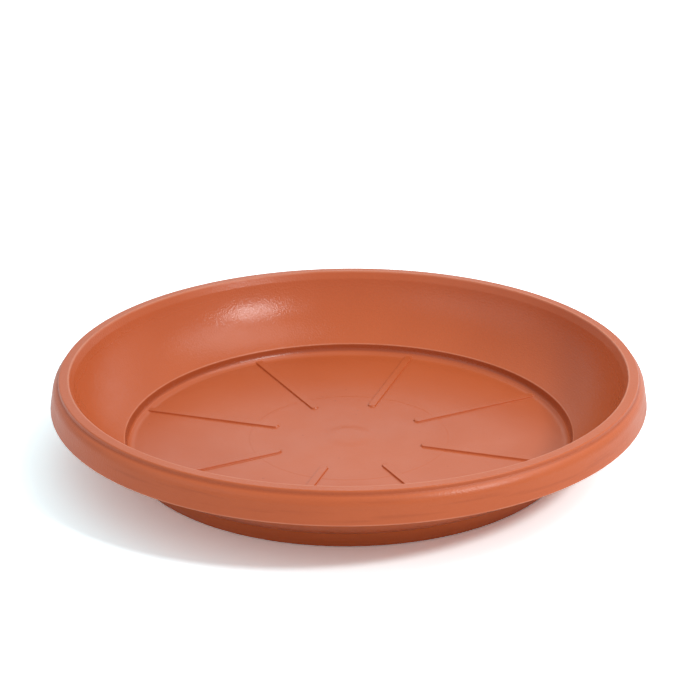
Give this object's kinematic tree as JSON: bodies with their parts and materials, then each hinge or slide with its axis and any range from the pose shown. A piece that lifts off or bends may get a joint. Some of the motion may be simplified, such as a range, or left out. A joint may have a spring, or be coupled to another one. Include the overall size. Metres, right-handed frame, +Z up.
{
  "type": "plant saucer",
  "caption": "Round terracotta-coloured plastic plant saucer with flat lip, hollow turned-down rim, sloped wall and low radial ribs that carry the pot.",
  "frame": {"origin": "centre of the foot ring, on the plane it stands on", "axes": "+Z up along the axis of the dish; the ribs lie at 27 degrees from +X and every 45 degrees from there"},
  "size_m": [0.3, 0.3, 0.0445],
  "materials": {
    "terracotta_plastic": "terracotta-coloured polypropylene: satin lip, floor and skirt, fine spark-eroded grain on the sloped wall"
  },
  "bodies": {
    "root": {"saucer": "terracotta_plastic"}
  },
  "joints": []
}
